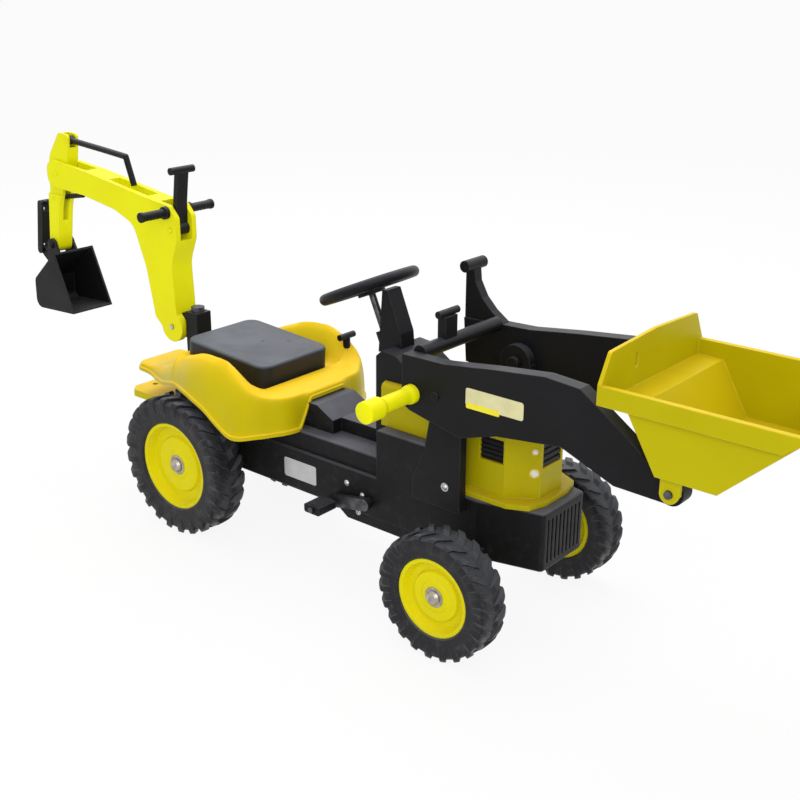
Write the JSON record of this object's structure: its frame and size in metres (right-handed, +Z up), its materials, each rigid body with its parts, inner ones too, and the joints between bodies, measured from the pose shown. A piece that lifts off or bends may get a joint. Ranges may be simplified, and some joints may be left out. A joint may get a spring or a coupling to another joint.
{
  "type": "ride-on toy backhoe loader",
  "caption": "Child's pedal tractor with a front loader, a rear digger, a seat, steering and lugged wheels.",
  "frame": {"origin": "centre of the outer box, on the ground", "axes": "+X forward, towards the loader bucket; +Y to the rider's left; +Z up"},
  "size_m": [1.772, 0.443, 0.6817],
  "materials": {
    "tyre_black": "hard black plastic tyre",
    "rim_yellow": "bright lemon yellow moulding",
    "digger_yellow": "lemon yellow moulding",
    "body_yellow": "warm yellow moulding",
    "black_plastic": "black moulding with a soft sheen",
    "steel": "zinc plated steel"
  },
  "bodies": {
    "chassis": {"hull": "black_plastic", "grille": "black_plastic", "crank_housing": "black_plastic", "front_axle_beam": "black_plastic", "tow_plate": "body_yellow", "body_shell": "body_yellow", "seat": "black_plastic", "fender_lever": "black_plastic", "hood": "body_yellow", "dashboard": "black_plastic", "steering_column": "black_plastic", "tower_left": "black_plastic", "tower_right": "black_plastic", "lift_pins": "steel", "swing_base": "black_plastic", "swing_pin": "steel"},
    "rear_wheels": {"rear_axle": "steel", "rear_tyre_left": "tyre_black", "rear_tyre_right": "tyre_black", "rear_rim_left": "rim_yellow", "rear_rim_right": "rim_yellow", "rear_caps": "steel"},
    "crank": {"crank": "steel"},
    "pedal_left": {"pedal_left": "black_plastic"},
    "pedal_right": {"pedal_right": "black_plastic"},
    "steering": {"steering_wheel": "black_plastic", "steering_shaft": "steel", "pitman_arm": "steel", "pitman_pin": "steel"},
    "knuckle_left": {"knuckle_left": "steel", "front_cap_left": "steel"},
    "knuckle_right": {"knuckle_right": "steel", "front_cap_right": "steel"},
    "tie_rod": {"tie_rod": "steel", "tie_rod_fork": "steel"},
    "front_wheel_left": {"front_tyre_left": "tyre_black", "front_rim_left": "rim_yellow"},
    "front_wheel_right": {"front_tyre_right": "tyre_black", "front_rim_right": "rim_yellow"},
    "loader": {"loader_arm_left": "black_plastic", "loader_arm_right": "black_plastic", "crossbar": "black_plastic", "catch_knob": "black_plastic", "loader_lever": "black_plastic", "loader_grip": "digger_yellow", "dump_pins": "steel"},
    "loader_bucket": {"loader_bucket": "body_yellow"},
    "swing": {"swing_post": "black_plastic", "boom_pin": "steel"},
    "boom": {"boom": "digger_yellow", "digger_grips": "black_plastic", "boom_tip_pins": "steel"},
    "digger_lever": {"digger_lever": "black_plastic"},
    "dipper": {"dipper": "digger_yellow", "dipper_pins": "steel"},
    "link_bar": {"link_bar": "black_plastic"},
    "digging_bucket": {"digging_bucket": "black_plastic"},
    "rocker": {"rocker": "black_plastic"},
    "bucket_rod": {"bucket_rod": "black_plastic"}
  },
  "joints": [
    {"name": "rear_axle_roll", "type": "hinge", "parent": "chassis", "child": "rear_wheels", "pos_m": [-0.284, 0.0185, 0.134], "axis": [0, 1, 0], "continuous": true},
    {"name": "crank_turn", "type": "hinge", "parent": "chassis", "child": "crank", "pos_m": [0.131, 0.0185, 0.16], "axis": [0, 1, 0], "continuous": true},
    {"name": "pedal_left_turn", "type": "hinge", "parent": "crank", "child": "pedal_left", "pos_m": [0.2056, 0.1465, 0.1745], "axis": [0, 1, 0], "continuous": true},
    {"name": "pedal_right_turn", "type": "hinge", "parent": "crank", "child": "pedal_right", "pos_m": [0.0564, -0.1095, 0.1455], "axis": [0, 1, 0], "continuous": true},
    {"name": "steer", "type": "hinge", "parent": "chassis", "child": "steering", "pos_m": [0.058, 0.0185, 0.509], "axis": [-0.4131, 0, 0.9107], "range_deg": [-25, 25]},
    {"name": "knuckle_left_steer", "type": "hinge", "parent": "chassis", "child": "knuckle_left", "pos_m": [0.356, 0.1405, 0.106], "axis": [0, 0, 1], "range_deg": [-25, 25]},
    {"name": "knuckle_right_steer", "type": "hinge", "parent": "chassis", "child": "knuckle_right", "pos_m": [0.356, -0.1035, 0.106], "axis": [0, 0, 1], "range_deg": [-25, 25]},
    {"name": "tie_rod_pivot", "type": "hinge", "parent": "knuckle_left", "child": "tie_rod", "pos_m": [0.3, 0.1405, 0.112], "axis": [0, 0, 1], "range_deg": [-25, 25]},
    {"name": "front_wheel_left_roll", "type": "hinge", "parent": "knuckle_left", "child": "front_wheel_left", "pos_m": [0.356, 0.1915, 0.106], "axis": [0, 1, 0], "continuous": true},
    {"name": "front_wheel_right_roll", "type": "hinge", "parent": "knuckle_right", "child": "front_wheel_right", "pos_m": [0.356, -0.1545, 0.106], "axis": [0, 1, 0], "continuous": true},
    {"name": "loader_lift", "type": "hinge", "parent": "chassis", "child": "loader", "pos_m": [0.301, 0.0185, 0.405], "axis": [0, 1, 0], "range_deg": [-36, 46]},
    {"name": "bucket_dump", "type": "hinge", "parent": "loader", "child": "loader_bucket", "pos_m": [0.704, 0.0185, 0.366], "axis": [0, 1, 0], "range_deg": [0, 70]},
    {"name": "digger_swing", "type": "hinge", "parent": "chassis", "child": "swing", "pos_m": [-0.384, 0.0185, 0.282], "axis": [0, 0, 1], "range_deg": [-60, 60]},
    {"name": "boom_lift", "type": "hinge", "parent": "swing", "child": "boom", "pos_m": [-0.434, 0.0185, 0.342], "axis": [0, 1, 0], "range_deg": [-45, 15]},
    {"name": "dipper_reach", "type": "hinge", "parent": "boom", "child": "dipper", "pos_m": [-0.774, 0.0185, 0.6], "axis": [0, 1, 0], "range_deg": [-25, 45]},
    {"name": "digger_lever_tilt", "type": "hinge", "parent": "boom", "child": "digger_lever", "pos_m": [-0.422, 0.0185, 0.535], "axis": [0, 1, 0], "range_deg": [-12.5, 22.5]},
    {"name": "link_bar_pivot", "type": "hinge", "parent": "dipper", "child": "link_bar", "pos_m": [-0.75, 0.0185, 0.668], "axis": [0, 1, 0], "range_deg": [-45, 25]},
    {"name": "bucket_curl", "type": "hinge", "parent": "dipper", "child": "digging_bucket", "pos_m": [-0.814, 0.0185, 0.444], "axis": [0, 1, 0], "range_deg": [-35, 35]},
    {"name": "rocker_pivot", "type": "hinge", "parent": "dipper", "child": "rocker", "pos_m": [-0.799, 0.0185, 0.545], "axis": [0, 1, 0], "range_deg": [-35, 35]},
    {"name": "bucket_rod_pivot", "type": "hinge", "parent": "rocker", "child": "bucket_rod", "pos_m": [-0.863, 0.0185, 0.523], "axis": [0, 1, 0], "range_deg": [-35, 35]}
  ],
  "couplings": [
    {"joint": "crank_turn", "follows": "rear_axle_roll", "ratio": 0.6},
    {"joint": "knuckle_left_steer", "follows": "steer", "ratio": 1},
    {"joint": "knuckle_right_steer", "follows": "steer", "ratio": 1},
    {"joint": "tie_rod_pivot", "follows": "steer", "ratio": -1},
    {"joint": "digger_lever_tilt", "follows": "dipper_reach", "ratio": 0.5},
    {"joint": "link_bar_pivot", "follows": "dipper_reach", "ratio": -1},
    {"joint": "rocker_pivot", "follows": "bucket_curl", "ratio": 1},
    {"joint": "bucket_rod_pivot", "follows": "bucket_curl", "ratio": -1}
  ]
}
